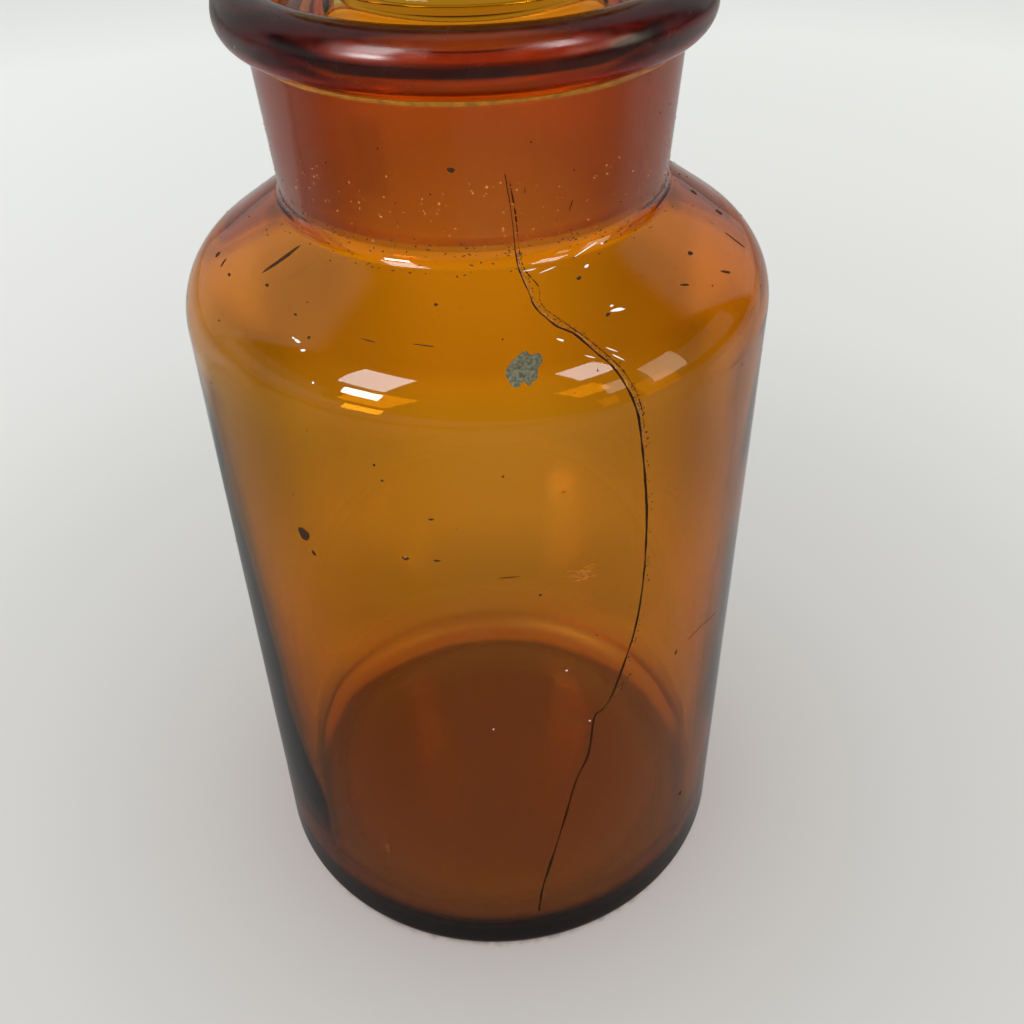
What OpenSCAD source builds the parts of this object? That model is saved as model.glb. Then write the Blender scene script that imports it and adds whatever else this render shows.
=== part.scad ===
// Wide-mouth reagent bottle in amber glass with its hollow ground-glass stopper.
// Millimetres, +Z up, origin at the centre of the foot, on the surface it stands on.

/* [Body] */
// Outer diameter of the straight body
body_d = 82; // [70:0.5:110]
// Height where the body wall's line meets the shoulder's line
body_h = 113.4; // [80:0.1:180]
// Thickness of the body wall, just under the shoulder
wall = 2.2; // [1.8:0.1:5]
// Thickness of the body wall at the floor, where the glass is heavier
foot_wall = 3.4; // [2:0.1:6]
// Thickness of the base, from the bench to the floor inside
base_t = 5.6; // [4:0.1:10]
// Outer radius of the heel, between foot and body wall
heel_round = 3.2; // [1:0.1:6]
// Inner radius between floor and body wall
floor_round = 6; // [2:0.1:12]
// Width of the flat ring that the bottle stands on
foot_w = 2.4; // [1:0.1:6]
// Height of the hollow under the base
push_up = 1.6; // [0.5:0.1:3]

/* [Shoulder and neck] */
// Rise of the shoulder, from the body wall's line to the root of the neck
shoulder_h = 10.7; // [6:0.1:20]
// Thickness of the shoulder
shoulder_wall = 3.2; // [2:0.1:5]
// Radius where the body wall turns into the shoulder
shoulder_round = 10; // [6:0.1:12]
// Height of the neck, from its root to the lip
neck_h = 19.6; // [15:0.1:40]
// Thickness of the neck's wall at its root
neck_wall = 3.7; // [2:0.1:6]
// Extra thickness of the neck's wall just under the lip
neck_swell = 0.4; // [0:0.1:2]
// Radius of the fillet at the root of the neck
neck_fillet = 2.2; // [0.5:0.1:4]
// Radius inside, where the bore opens into the shoulder
bore_round = 3; // [1:0.1:5]

/* [Lip] */
// How far the beaded lip stands out from the neck
lip_out = 3.5; // [1:0.1:6]
// Height of the beaded lip
lip_h = 7.2; // [4:0.1:12]
// Radius in the groove between the neck and the lip
lip_groove = 0.8; // [0.2:0.1:1.5]

/* [Ground joint] */
// Diameter of the joint's large end, near the rim
joint_d = 46.6; // [36:0.1:60]
// Loss of diameter for each millimetre of depth
joint_taper = 0.1; // [0.05:0.01:0.15]
// Length of the stopper's ground face
joint_len = 22.4; // [15:0.1:26]
// Depth of the joint's large end below the rim
joint_drop = 3.6; // [2:0.1:6]
// Radial clearance between the ground faces
joint_gap = 0.05; // [0.02:0.01:0.1]

/* [Stopper] */
// Thickness of the hollow plug's wall
plug_wall = 2.8; // [2:0.1:4]
// Diameter of the waist under the head
waist_d = 31; // [24:0.5:36]
// Gap between the rim of the bottle and the head
head_gap = 5; // [3:0.1:12]
// Diameter of the head
head_d = 47; // [40:0.5:60]
// Height of the head at its rim
head_h = 7.4; // [5:0.1:12]
// Rise of the head's crowned top
crown_h = 1.8; // [0.5:0.1:4]

/* [Hidden] */
$fn = 180;

amber = "#8a4a14";
amber_light = "#a8621c";

// Steps along each rounded corner and along each shallow crown
arc_steps = 10;
crown_steps = 8;

// Narrow flat left between two roundings that nearly meet
flat = 0.2;

// Heights of the bottle
neck_root_z = body_h + shoulder_h;
lip_bottom_z = neck_root_z + neck_h;
rim_z = lip_bottom_z + lip_h;

// One cone runs from the rim down the bore, and the neck is built around it.
joint_top_z = rim_z - joint_drop;
joint_bottom_z = joint_top_z - joint_len;
function bore_r(z) = joint_d / 2 - (joint_top_z - z) * joint_taper / 2;
neck_r = bore_r(neck_root_z) + neck_wall;
neck_top_r = bore_r(lip_bottom_z) + neck_wall + neck_swell;
lip_r = neck_top_r + lip_out;
lip_round = (min(lip_h, lip_r - bore_r(rim_z)) - flat) / 2;

// Radii of the body. The inside narrows from the shoulder to the floor.
body_r = body_d / 2;
inner_r = body_r - wall;
floor_r = body_r - foot_wall;
foot_in_r = body_r - heel_round - foot_w;

// The shoulder's inner line lies one shoulder thickness inside its outer line,
// and the bore ends where its cone meets that inner line.
shoulder_rise = shoulder_h / (body_r - neck_r);
shoulder_in_z = body_h - shoulder_wall * norm([1, shoulder_rise]) + wall * shoulder_rise;
shoulder_in_round = max(shoulder_round - shoulder_wall, 1);
bore_end_z = (shoulder_in_z + (inner_r - bore_r(0)) * shoulder_rise)
    / (1 + joint_taper / 2 * shoulder_rise);

// The plug is the bore's own cone, less the clearance.
function plug_r(z) = bore_r(z) - joint_gap;
function cavity_r(z) = plug_r(z) - plug_wall;
plug_edge_round = 0.9;
plug_top_round = 1.6;
cavity_top_z = joint_top_z - plug_wall / 2;
cavity_round = 8;

// The waist stands on the plug's sloping top and flares out into the head,
// whose underside slopes up a little to its rim.
plug_top_rise = 2.4;
waist_r = waist_d / 2;
waist_foot_z = joint_top_z + plug_top_rise;
waist_round = 3;
underside_rise = 0.8;
head_r = head_d / 2;
head_bottom_z = rim_z + head_gap;
head_rim_z = head_bottom_z + underside_rise;
head_top_z = head_bottom_z + head_h;
head_round = (head_top_z - head_rim_z - flat) / 2;
crown_r = head_r - head_round - flat;

// A unit vector along v
function unit(v) = v / norm(v);

// The arc of radius r that rounds corner p between its neighbours a and b
function corner_arc(a, p, b, r) =
    let (
        u = unit(a - p),
        v = unit(b - p),
        half = acos(u * v) / 2,
        centre = p + unit(u + v) * r / sin(half),
        from = p + u * r / tan(half) - centre,
        start = atan2(from[1], from[0]),
        turn = sign(cross(p - a, b - p)) * (180 - 2 * half)
    )
    [for (i = [0:arc_steps])
        let (angle = start + turn * i / arc_steps)
        centre + r * [cos(angle), sin(angle)]];

// An outline from corners, each [radius from the axis, height, rounding]
function rounded(corners) =
    [for (i = [0:len(corners) - 1])
        let (
            point = function (k) [corners[k][0], corners[k][1]],
            r = corners[i][2]
        )
        each (r == 0 ? [point(i)] : corner_arc(point(i - 1), point(i), point(i + 1), r))];

// A crown that rises by h from radius r, at height z, to the axis
function crown(r, z, h) =
    [for (i = [0:crown_steps])
        let (t = 1 - i / crown_steps)
        [r * t, z + h * (1 - t * t)]];

// One piece of glass: foot, wall, shoulder, neck and beaded lip, then the
// ground bore, the shoulder and the floor inside, and the hollow underneath.
module bottle() {
    shell = rounded([
        [foot_in_r, 0, 0],
        [body_r, 0, heel_round],
        [body_r, body_h, shoulder_round],
        [neck_r, neck_root_z, neck_fillet],
        [neck_top_r, lip_bottom_z, lip_groove],
        [lip_r, lip_bottom_z, lip_round],
        [lip_r, rim_z, lip_round],
        [bore_r(rim_z), rim_z, lip_round],
        [bore_r(bore_end_z), bore_end_z, bore_round],
        [inner_r, shoulder_in_z, shoulder_in_round],
        [floor_r, base_t, floor_round],
        [0, base_t, 0]
    ]);
    under_base = crown(foot_in_r, 0, push_up);
    hollow = [for (i = [crown_steps:-1:1]) under_base[i]];
    color(amber)
        rotate_extrude()
            polygon(concat(shell, hollow));
}

// Hollow plug with a ground face, open below, under a waist and a round head.
module stopper() {
    shell = rounded([
        [0, cavity_top_z, 0],
        [cavity_r(cavity_top_z), cavity_top_z, cavity_round],
        [cavity_r(joint_bottom_z), joint_bottom_z, plug_edge_round],
        [plug_r(joint_bottom_z), joint_bottom_z, plug_edge_round],
        [plug_r(joint_top_z), joint_top_z, plug_top_round],
        [waist_r, waist_foot_z, waist_round],
        [waist_r, head_bottom_z, waist_round],
        [head_r, head_rim_z, head_round],
        [head_r, head_top_z, head_round],
        [crown_r, head_top_z, 0]
    ]);
    top = crown(crown_r, head_top_z, crown_h);
    color(amber_light)
        rotate_extrude()
            polygon(concat(shell, [for (i = [1:crown_steps]) top[i]]));
}

bottle();
stopper();
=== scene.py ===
import math
import random

import bpy
from mathutils import Matrix, Vector, noise

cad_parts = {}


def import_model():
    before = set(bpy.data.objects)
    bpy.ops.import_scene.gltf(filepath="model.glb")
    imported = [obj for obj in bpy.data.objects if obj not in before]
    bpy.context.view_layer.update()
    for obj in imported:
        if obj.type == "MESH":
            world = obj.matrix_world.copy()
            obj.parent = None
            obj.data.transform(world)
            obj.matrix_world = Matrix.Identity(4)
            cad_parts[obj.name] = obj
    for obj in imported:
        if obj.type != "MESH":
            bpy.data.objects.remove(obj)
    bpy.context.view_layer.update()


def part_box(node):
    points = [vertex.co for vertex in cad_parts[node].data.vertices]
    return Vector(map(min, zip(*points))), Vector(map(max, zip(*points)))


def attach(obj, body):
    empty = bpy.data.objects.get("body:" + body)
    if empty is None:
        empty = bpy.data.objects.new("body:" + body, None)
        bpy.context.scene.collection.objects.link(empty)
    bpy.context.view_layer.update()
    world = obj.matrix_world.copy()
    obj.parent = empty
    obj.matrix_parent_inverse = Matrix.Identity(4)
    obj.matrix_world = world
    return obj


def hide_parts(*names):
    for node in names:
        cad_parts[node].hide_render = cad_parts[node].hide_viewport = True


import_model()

MM = 0.001

# ---------------------------------------------------------------- sizes in millimetres, as in the CAD model
# Body
BODY_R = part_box("bottle")[1][0] / MM
BODY_H = 113.4
WALL = 2.2
FOOT_WALL = 3.4
BASE_T = 5.6
HEEL_ROUND = 3.2
FOOT_W = 2.4
PUSH_UP = 1.6

# The floor inside lies lower at its edge and turns up more tightly than in the CAD model
FLOOR_EDGE_Z = 3.4
FLOOR_ROUND = 4.0
FLOOR_LEDGE = 1.0

# Shoulder and neck
SHOULDER_H = 10.7
SHOULDER_WALL = 3.2
SHOULDER_ROUND = 10.0
NECK_H = 19.6
NECK_WALL = 3.7
NECK_SWELL = 0.4
NECK_FILLET = 2.2
BORE_ROUND = 3.0

# Lip
RIM_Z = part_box("bottle")[1][2] / MM
LIP_OUT = 3.5
LIP_H = 7.2
LIP_GROOVE = 0.8

# Ground joint
JOINT_D = 46.6
JOINT_TAPER = 0.1
JOINT_LEN = 22.4
JOINT_DROP = 3.6
JOINT_GAP = 0.05

# Stopper
PLUG_WALL = 2.8
PLUG_EDGE_ROUND = 0.9
PLUG_TOP_ROUND = 1.6
PLUG_TOP_RISE = 2.4
CAVITY_ROUND = 8.0
WAIST_R = 15.5
WAIST_ROUND = 3.0
HEAD_R = 23.5
HEAD_GAP = 5.0
HEAD_H = 7.4
UNDERSIDE_RISE = 0.8
CROWN_H = 1.8

# Narrow flat left between two roundings that nearly meet
FLAT = 0.2
# Longest step along an outline
LONGEST = 1.2
# Points round each ring of an outline
AROUND = 176

NECK_ROOT_Z = BODY_H + SHOULDER_H
LIP_BOTTOM_Z = NECK_ROOT_Z + NECK_H
JOINT_TOP_Z = RIM_Z - JOINT_DROP
JOINT_BOTTOM_Z = JOINT_TOP_Z - JOINT_LEN


def bore_r(z):
    """The radius of the bore's cone, which runs from the rim down the whole neck."""
    return JOINT_D / 2 - (JOINT_TOP_Z - z) * JOINT_TAPER / 2


def plug_r(z):
    """The radius of the plug's cone, which stands in the bore's with a small clearance."""
    return bore_r(z) - JOINT_GAP


NECK_R = bore_r(NECK_ROOT_Z) + NECK_WALL
NECK_TOP_R = bore_r(LIP_BOTTOM_Z) + NECK_WALL + NECK_SWELL
LIP_R = NECK_TOP_R + LIP_OUT
LIP_ROUND = (min(LIP_H, LIP_R - bore_r(RIM_Z)) - FLAT) / 2
INNER_R = BODY_R - WALL
FLOOR_R = BODY_R - FOOT_WALL
DOME_R = FLOOR_R - FLOOR_ROUND - FLOOR_LEDGE
FOOT_IN_R = BODY_R - HEEL_ROUND - FOOT_W

# The bore ends where its cone meets the shoulder's inner line
SHOULDER_RISE = SHOULDER_H / (BODY_R - NECK_R)
SHOULDER_IN_Z = BODY_H - SHOULDER_WALL * math.hypot(1, SHOULDER_RISE) + WALL * SHOULDER_RISE
BORE_END_Z = SHOULDER_IN_Z + (INNER_R - bore_r(0)) * SHOULDER_RISE
BORE_END_Z /= 1 + JOINT_TAPER / 2 * SHOULDER_RISE


# ---------------------------------------------------------------- curves and fades
def smooth(low, high, x):
    """0 below low, 1 above high and a smooth step between."""
    t = max(0, min(1, (x - low) / (high - low)))
    return t * t * (3 - 2 * t)


def fall(low, high, x):
    """1 below low and 0 above high."""
    return 1 - smooth(low, high, x)


def hump(start, full, end, gone, x):
    """1 from full to end, and 0 before start and after gone."""
    return smooth(start, full, x) * fall(end, gone, x)


def between(points, x):
    """The value at x on the straight lines through points of x and value."""
    if x <= points[0][0]:
        return points[0][1]
    for (x0, y0), (x1, y1) in zip(points, points[1:]):
        if x <= x1:
            return y0 + (y1 - y0) * (x - x0) / (x1 - x0)
    return points[-1][1]


def wander(x, y, z, size, seed):
    """Smooth noise of about that size, from -1 to 1."""
    return noise.noise(Vector((x / size + seed, y / size, z / size)))


# ---------------------------------------------------------------- outlines, as radius and height
def corner_arc(a, p, b, r, steps):
    """The arc of radius r that rounds corner p between its neighbours a and b."""
    a, p, b = Vector(a), Vector(p), Vector(b)
    u, v = (a - p).normalized(), (b - p).normalized()
    half = math.acos(max(-1, min(1, u.dot(v)))) / 2
    centre = p + (u + v).normalized() * r / math.sin(half)
    start_at = p + u * r / math.tan(half) - centre
    start = math.atan2(start_at.y, start_at.x)
    side = (p - a).x * (b - p).y - (p - a).y * (b - p).x
    turn = math.copysign(math.pi - 2 * half, side)
    angles = [start + turn * i / steps for i in range(steps + 1)]
    return [(centre.x + r * math.cos(angle), centre.y + r * math.sin(angle)) for angle in angles]


def rounded(corners, spacing=0.35):
    """An outline from corners, each of radius, height and rounding."""
    points = []
    for i, (x, z, r) in enumerate(corners):
        if r == 0:
            points.append((x, z))
            continue
        steps = max(8, int(r * 2 / spacing))
        points += corner_arc(corners[i - 1][:2], (x, z), corners[i + 1][:2], r, steps)
    return points


def crown(r, z, h, steps=24):
    """A crown that rises by h from radius r, at height z, to the axis."""
    return [(r * (1 - i / steps), z + h * (1 - (1 - i / steps) ** 2)) for i in range(steps + 1)]


def filled(points, longest):
    """The same outline, with points added so that no step is longer than longest."""
    out = [points[0]]
    for a, b in zip(points, points[1:]):
        n = max(1, math.ceil(math.dist(a, b) / longest))
        out += [(a[0] + (b[0] - a[0]) * k / n, a[1] + (b[1] - a[1]) * k / n) for k in range(1, n + 1)]
    return out


def bottle_outline():
    """From the hollow underneath, up the outside, over the lip and down the inside to the floor's middle."""
    shell = rounded([
        (FOOT_IN_R, 0, 0),
        (BODY_R, 0, HEEL_ROUND),
        (BODY_R, BODY_H, SHOULDER_ROUND),
        (NECK_R, NECK_ROOT_Z, NECK_FILLET),
        (NECK_TOP_R, LIP_BOTTOM_Z, LIP_GROOVE),
        (LIP_R, LIP_BOTTOM_Z, LIP_ROUND),
        (LIP_R, RIM_Z, LIP_ROUND),
        (bore_r(RIM_Z), RIM_Z, LIP_ROUND),
        (bore_r(BORE_END_Z), BORE_END_Z, BORE_ROUND),
        (INNER_R, SHOULDER_IN_Z, SHOULDER_ROUND - SHOULDER_WALL),
        (FLOOR_R, FLOOR_EDGE_Z, FLOOR_ROUND),
        (DOME_R, FLOOR_EDGE_Z, 0),
    ])
    under = list(reversed(crown(FOOT_IN_R, 0, PUSH_UP)))[:-1]
    floor_dome = crown(DOME_R, FLOOR_EDGE_Z, BASE_T - FLOOR_EDGE_Z)[1:]
    return filled(under + shell + floor_dome, LONGEST)


def stopper_outline():
    """From the top of the hollow, down inside, up the ground face and the waist, and over the head."""
    cavity_top_z = JOINT_TOP_Z - PLUG_WALL / 2
    head_bottom_z = RIM_Z + HEAD_GAP
    head_top_z = head_bottom_z + HEAD_H
    head_round = (head_top_z - head_bottom_z - UNDERSIDE_RISE - FLAT) / 2
    crown_r = HEAD_R - head_round - FLAT
    shell = rounded([
        (0, cavity_top_z, 0),
        (plug_r(cavity_top_z) - PLUG_WALL, cavity_top_z, CAVITY_ROUND),
        (plug_r(JOINT_BOTTOM_Z) - PLUG_WALL, JOINT_BOTTOM_Z, PLUG_EDGE_ROUND),
        (plug_r(JOINT_BOTTOM_Z), JOINT_BOTTOM_Z, PLUG_EDGE_ROUND),
        (plug_r(JOINT_TOP_Z), JOINT_TOP_Z, PLUG_TOP_ROUND),
        (WAIST_R, JOINT_TOP_Z + PLUG_TOP_RISE, WAIST_ROUND),
        (WAIST_R, head_bottom_z, WAIST_ROUND),
        (HEAD_R, head_bottom_z + UNDERSIDE_RISE, head_round),
        (HEAD_R, head_top_z, head_round),
        (crown_r, head_top_z, 0),
    ])
    return filled(shell + crown(crown_r, head_top_z, CROWN_H)[1:], LONGEST)


def inside_from(outline):
    """The index of the highest point, past which the outline runs down the inside."""
    heights = [z for _, z in outline]
    return heights.index(max(heights))


def outward(outline):
    """The direction out of the glass at each point of an outline that runs anticlockwise in r and z."""
    out = []
    for i in range(len(outline)):
        a, b = outline[max(0, i - 1)], outline[min(len(outline) - 1, i + 1)]
        way = math.hypot(b[0] - a[0], b[1] - a[1])
        out.append(((b[1] - a[1]) / way, -(b[0] - a[0]) / way))
    return out


OUTLINE = bottle_outline()
INSIDE = inside_from(OUTLINE)
OUTWARD = outward(OUTLINE)

# ---------------------------------------------------------------- uneven blown glass
# The wall's thickness in millimetres at some heights, by side
SIDES = {
    "left": [(5, 3.1), (20, 2.9), (45, 2.5), (70, 2.05), (90, 1.7), (111, 1.3)],
    "right": [(5, 2.5), (40, 2.5), (52, 2.47), (78, 2.35), (111, 2.33)],
    "front": [(5, 2.5), (60, 2.3), (111, 2.1)],
    "back": [(5, 2.5), (60, 2.4), (111, 2.2)],
}
SIDE_AT = {"left": (-1, 0), "right": (1, 0), "front": (0, -1), "back": (0, 1)}
# The thicknesses are worked out once for each millimetre up to this height
WALL_TOP_Z = 125
# Heights of the waves in the glass: faint ones outside, long and short ones inside
OUTER_WAVE = 0.03
LONG_WAVE = 0.10
SHORT_WAVE = 0.03


def side_wall(side, z, blur=4):
    """The wall's thickness on one side, with the corners between the given heights smoothed out."""
    return sum(between(SIDES[side], z + blur * k / 3) for k in range(-3, 4)) / 7


WALLS = {side: [side_wall(side, z) for z in range(WALL_TOP_Z + 1)] for side in SIDES}


def wall_at(z, a):
    """The wall's thickness at a height and an angle, blended from the sides that the angle looks to."""
    z = max(0, min(WALL_TOP_Z - 0.01, z))
    low, part = int(z), z - int(z)
    total, weights = 0, 0
    for side, (x, y) in SIDE_AT.items():
        weight = max(0, x * math.cos(a) + y * math.sin(a)) ** 3
        row = WALLS[side]
        total += weight * (row[low] * (1 - part) + row[low + 1] * part)
        weights += weight
    return total / weights


def cad_wall(z):
    """The thickness of the CAD model's plain wall."""
    t = (SHOULDER_IN_Z - z) / (SHOULDER_IN_Z - BASE_T)
    return WALL + (FOOT_WALL - WALL) * max(0, min(1, t))


def outer_shift(x, y, z):
    """The outside's waves, which only sink in, so that the glass stays within the CAD model."""
    wave = min(0, OUTER_WAVE * wander(x, y, z * 0.7, 9, 3) - OUTER_WAVE)
    return wave * hump(4, 12, NECK_ROOT_Z - 2, NECK_ROOT_Z, z)


def inner_shift(x, y, z, r, a):
    """The inside's uneven wall and its waves, which stop short of the ground joint."""
    wall = (wall_at(z, a) - cad_wall(z)) * fall(SHOULDER_IN_Z - 6, SHOULDER_IN_Z + 4, z) * smooth(20, 30, r)
    waves = LONG_WAVE * wander(x, y, z * 0.5, 34, 11) + SHORT_WAVE * wander(x, y, z * 0.6, 9, 5)
    return wall + waves * fall(JOINT_BOTTOM_Z - 3, JOINT_BOTTOM_Z - 1, z)


def blown(i, r, z, a):
    """Where a point of the outline goes at an angle about the axis."""
    x, y = r * math.cos(a), r * math.sin(a)
    shift = outer_shift(x, y, z) if i <= INSIDE else inner_shift(x, y, z, r, a)
    return r + OUTWARD[i][0] * shift, z + OUTWARD[i][1] * shift


def mesh_piece(name, verts, faces, material, soft=False):
    """A mesh object in the scene, with smooth shading where soft is true."""
    mesh = bpy.data.meshes.new(name)
    mesh.from_pydata(verts, [], faces)
    mesh.update()
    mesh.materials.append(material)
    for p in mesh.polygons:
        p.use_smooth = soft
    piece = bpy.data.objects.new(name, mesh)
    bpy.context.scene.collection.objects.link(piece)
    return piece


def revolve(name, outline, material, shape=None):
    """A closed surface of revolution about Z from an outline that starts and ends on the axis."""
    rings = outline[1:-1]
    verts = [(0, 0, outline[0][1] * MM)]
    for i, (r, z) in enumerate(rings, start=1):
        for k in range(AROUND):
            a = 2 * math.pi * k / AROUND
            shaped_r, shaped_z = shape(i, r, z, a) if shape else (r, z)
            verts.append((shaped_r * math.cos(a) * MM, shaped_r * math.sin(a) * MM, shaped_z * MM))
    verts.append((0, 0, outline[-1][1] * MM))
    top = 1 + (len(rings) - 1) * AROUND
    last = len(verts) - 1
    faces = []
    for k in range(AROUND):
        n = (k + 1) % AROUND
        faces.append((0, 1 + n, 1 + k))
        for i in range(len(rings) - 1):
            a, b = 1 + i * AROUND, 1 + (i + 1) * AROUND
            faces.append((a + k, a + n, b + n, b + k))
        faces.append((top + k, top + n, last))
    return mesh_piece(name, verts, faces, material, soft=True)


# ---------------------------------------------------------------- shader nodes
def empty_tree(owner, output_kind):
    """The owner's node tree with nothing in it but a new output node, and that node."""
    owner.use_nodes = True
    t = owner.node_tree
    t.nodes.clear()
    return t, t.nodes.new(output_kind)


def feed(t, value, socket):
    """Sets a socket to a number, or links another socket to it."""
    if isinstance(value, (int, float)):
        socket.default_value = value
    else:
        t.links.new(value, socket)


def chain(t, operation, a, b=None):
    """The result of a Math node."""
    n = t.nodes.new("ShaderNodeMath")
    n.operation = operation
    feed(t, a, n.inputs[0])
    if b is not None:
        feed(t, b, n.inputs[1])
    return n.outputs[0]


def ranged(t, value, start, end, low, high, kind="LINEAR"):
    """From low to high as the value goes from start to end."""
    n = t.nodes.new("ShaderNodeMapRange")
    n.interpolation_type = kind
    for key, v in (("From Min", start), ("From Max", end), ("To Min", low), ("To Max", high)):
        n.inputs[key].default_value = v
    t.links.new(value, n.inputs["Value"])
    return n.outputs[0]


def rise(t, value, start, end, low, high):
    """A smooth step from low to high as the value goes from start to end."""
    return ranged(t, value, start, end, low, high, kind="SMOOTHSTEP")


def painted(t, name):
    """The value that is painted on the mesh under a name."""
    n = t.nodes.new("ShaderNodeAttribute")
    n.attribute_name = name
    return n.outputs["Fac"]


def mixed(t, share, first, second):
    """The first shader, or the second where the share is 1."""
    n = t.nodes.new("ShaderNodeMixShader")
    t.links.new(share, n.inputs[0])
    t.links.new(first, n.inputs[1])
    t.links.new(second, n.inputs[2])
    return n.outputs[0]


# ---------------------------------------------------------------- glass
# The colour that the glass lets through, and how strongly a metre of it takes the rest
AMBER = (0.964, 0.765, 0.0)
DENSITY = 1000.0
# The stopper's glass is paler, so that the neck with the plug inside stays as light as an open one
PLUG_SHARE = 0.12
GLASS_IOR = 1.5
PLUG_IOR = 1.3
POLISH = 0.02
GROUND_ROUGH = 0.5
# What is left of the light where a surface is fully shaded: nearly nothing, or the plug's amber
SHADE = (0.012, 0.014, 0.030, 1)
PLUG_SHADE = (0.92, 0.68, 0.28, 1)
# What the glass lets through to whatever it shadows
SHADOW_TINT = (0.90, 0.93, 0.96, 1)


def shaded_white(t, shade_colour):
    """White, or the shade's colour where "shade" is painted."""
    n = t.nodes.new("ShaderNodeMix")
    n.data_type = "RGBA"
    t.links.new(painted(t, "shade"), n.inputs[0])
    n.inputs[6].default_value = (1, 1, 1, 1)
    n.inputs[7].default_value = shade_colour
    return n.outputs[2]


def glass(name, density, ior, shade_colour):
    """Tinted glass, rough where "ground" is painted and darker where "shade" is, with a light shadow."""
    m = bpy.data.materials.new(name)
    t, out = empty_tree(m, "ShaderNodeOutputMaterial")
    surface = t.nodes.new("ShaderNodeBsdfPrincipled")
    surface.inputs["Base Color"].default_value = (1, 1, 1, 1)
    surface.inputs["IOR"].default_value = ior
    surface.inputs["Transmission Weight"].default_value = 1.0
    t.links.new(ranged(t, painted(t, "ground"), 0, 1, POLISH, GROUND_ROUGH), surface.inputs["Roughness"])
    t.links.new(shaded_white(t, shade_colour), surface.inputs["Base Color"])
    clear = t.nodes.new("ShaderNodeBsdfTransparent")
    clear.inputs["Color"].default_value = SHADOW_TINT
    path = t.nodes.new("ShaderNodeLightPath")
    either = chain(t, "MAXIMUM", path.outputs["Is Shadow Ray"], path.outputs["Is Diffuse Ray"])
    t.links.new(mixed(t, either, surface.outputs[0], clear.outputs[0]), out.inputs["Surface"])
    body = t.nodes.new("ShaderNodeVolumeAbsorption")
    body.inputs["Color"].default_value = (*AMBER, 1)
    body.inputs["Density"].default_value = density
    t.links.new(body.outputs[0], out.inputs["Volume"])
    return m


# ---------------------------------------------------------------- where the glass is ground, and where shade is painted on it
# Azimuths are degrees from the front, positive to the right, and heights and radii are millimetres.
# The ground faces end at this height, and begin this far from the joint's lower end
GROUND_TOP_Z = 142.3
GROUND_MARGIN = 0.5
# How far from the bore's cone a point still counts as on the joint
ON_BORE = 0.2
# Where the lip's bead begins, and where the painted reflection of the dark room, a dark line, runs over the
# front
BEAD_Z = LIP_BOTTOM_Z + 0.5
LIP_LINE_Z = 147.5
# The middle of the painted reflection on the neck
PANE_AZIMUTH = -26
PANE_Z = 136.2
# Roughness as a share of the ground face's: on the lip, on the dusty floor and in the floor's corner
LIP_ROUGH = 0.42
LIP_WEAR = 0.25
DUST_ROUGH = 0.30
CORNER_DUST = 0.65
# How dark each painted shade is, from 0 to 1
JOINT_DARK = 0.39
JOINT_LIGHTER_AT_BACK = 0.35
CORNER_DARK = 0.30
CORNER_DARKER_IN_FRONT = 0.23
BEAD_DARK = 0.45
BEAD_DARKER_ON_TOP = 0.18
ROOT_DARK = 0.7
FLANK_DARK = 0.38
PANE_DARK = 0.24


def paint(piece, name, value_at):
    """A value on each point of a revolved piece, from its ring, radius, height and azimuth."""
    layer = piece.data.attributes.new(name, "FLOAT", "POINT")
    for k, (v, d) in enumerate(zip(piece.data.vertices, layer.data)):
        x, y, z = v.co / MM
        ring = (k - 1) // AROUND + 1
        d.value = value_at(ring, math.hypot(x, y), z, math.degrees(math.atan2(x, -y)))


def backward(azimuth):
    """0 over the front and 1 over the back."""
    return smooth(60, 110, abs(azimuth))


def in_joint(r, z, low):
    """1 on the joint's ground face from the height low up, and 0 elsewhere."""
    return float(abs(r - bore_r(z)) < ON_BORE and low < z < GROUND_TOP_Z)


def worn_lip(r, z, azimuth):
    """The lip's roughness, uneven from wear."""
    wear = wander(r * math.radians(azimuth), z, 0, 1.5, 31)
    return (LIP_ROUGH + LIP_WEAR * wear) * smooth(BEAD_Z, BEAD_Z + 1, z)


def dusty_floor(r, z):
    """Dust on the floor inside, thickest in its corner and up the foot of the wall."""
    return (DUST_ROUGH + CORNER_DUST * smooth(31, 34, r)) * fall(8, 18, z)


def bottle_ground(ring, r, z, azimuth):
    """A worn lip outside. Inside, a dusty floor and the joint's ground face, coarser at the front."""
    if ring <= INSIDE:
        return worn_lip(r, z, azimuth)
    joint = in_joint(r, z, JOINT_BOTTOM_Z - GROUND_MARGIN) * (1 - 0.5 * backward(azimuth))
    return max(dusty_floor(r, z), joint)


def inner_shade(r, z, azimuth):
    """Painted shade on the joint's ground face, darker at the front, and painted shade in the corner round
    the floor.
    """
    a = math.radians(azimuth)
    joint = in_joint(r, z, JOINT_BOTTOM_Z - GROUND_MARGIN)
    joint *= JOINT_DARK - JOINT_LIGHTER_AT_BACK * backward(azimuth)
    ragged = 1.2 * wander(r * math.cos(a), r * math.sin(a), 0, 1.2, 21)
    front = fall(100, 140, abs(azimuth))
    corner = smooth(29, 33.5, r + ragged) * fall(5.0, 8.2, z + ragged - 1.8 * front)
    return max(joint, (CORNER_DARK + CORNER_DARKER_IN_FRONT * front) * corner)


def lip_shade(z, fold):
    """Painted shade on the bead, darker towards its top and lighter at its sides, and a painted reflection
    of the dark room as a dark line along its middle.
    """
    middle = LIP_LINE_Z + 1.3 * smooth(25, 42, fold)
    line = fall(0.6, 1.2, abs(z - middle)) * fall(42, 50, fold)
    bead = smooth(BEAD_Z, BEAD_Z + 1, z) * (BEAD_DARK + BEAD_DARKER_ON_TOP * smooth(147, 149, z))
    return max(bead * (1 - 0.8 * smooth(40, 70, fold)), line)


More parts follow.
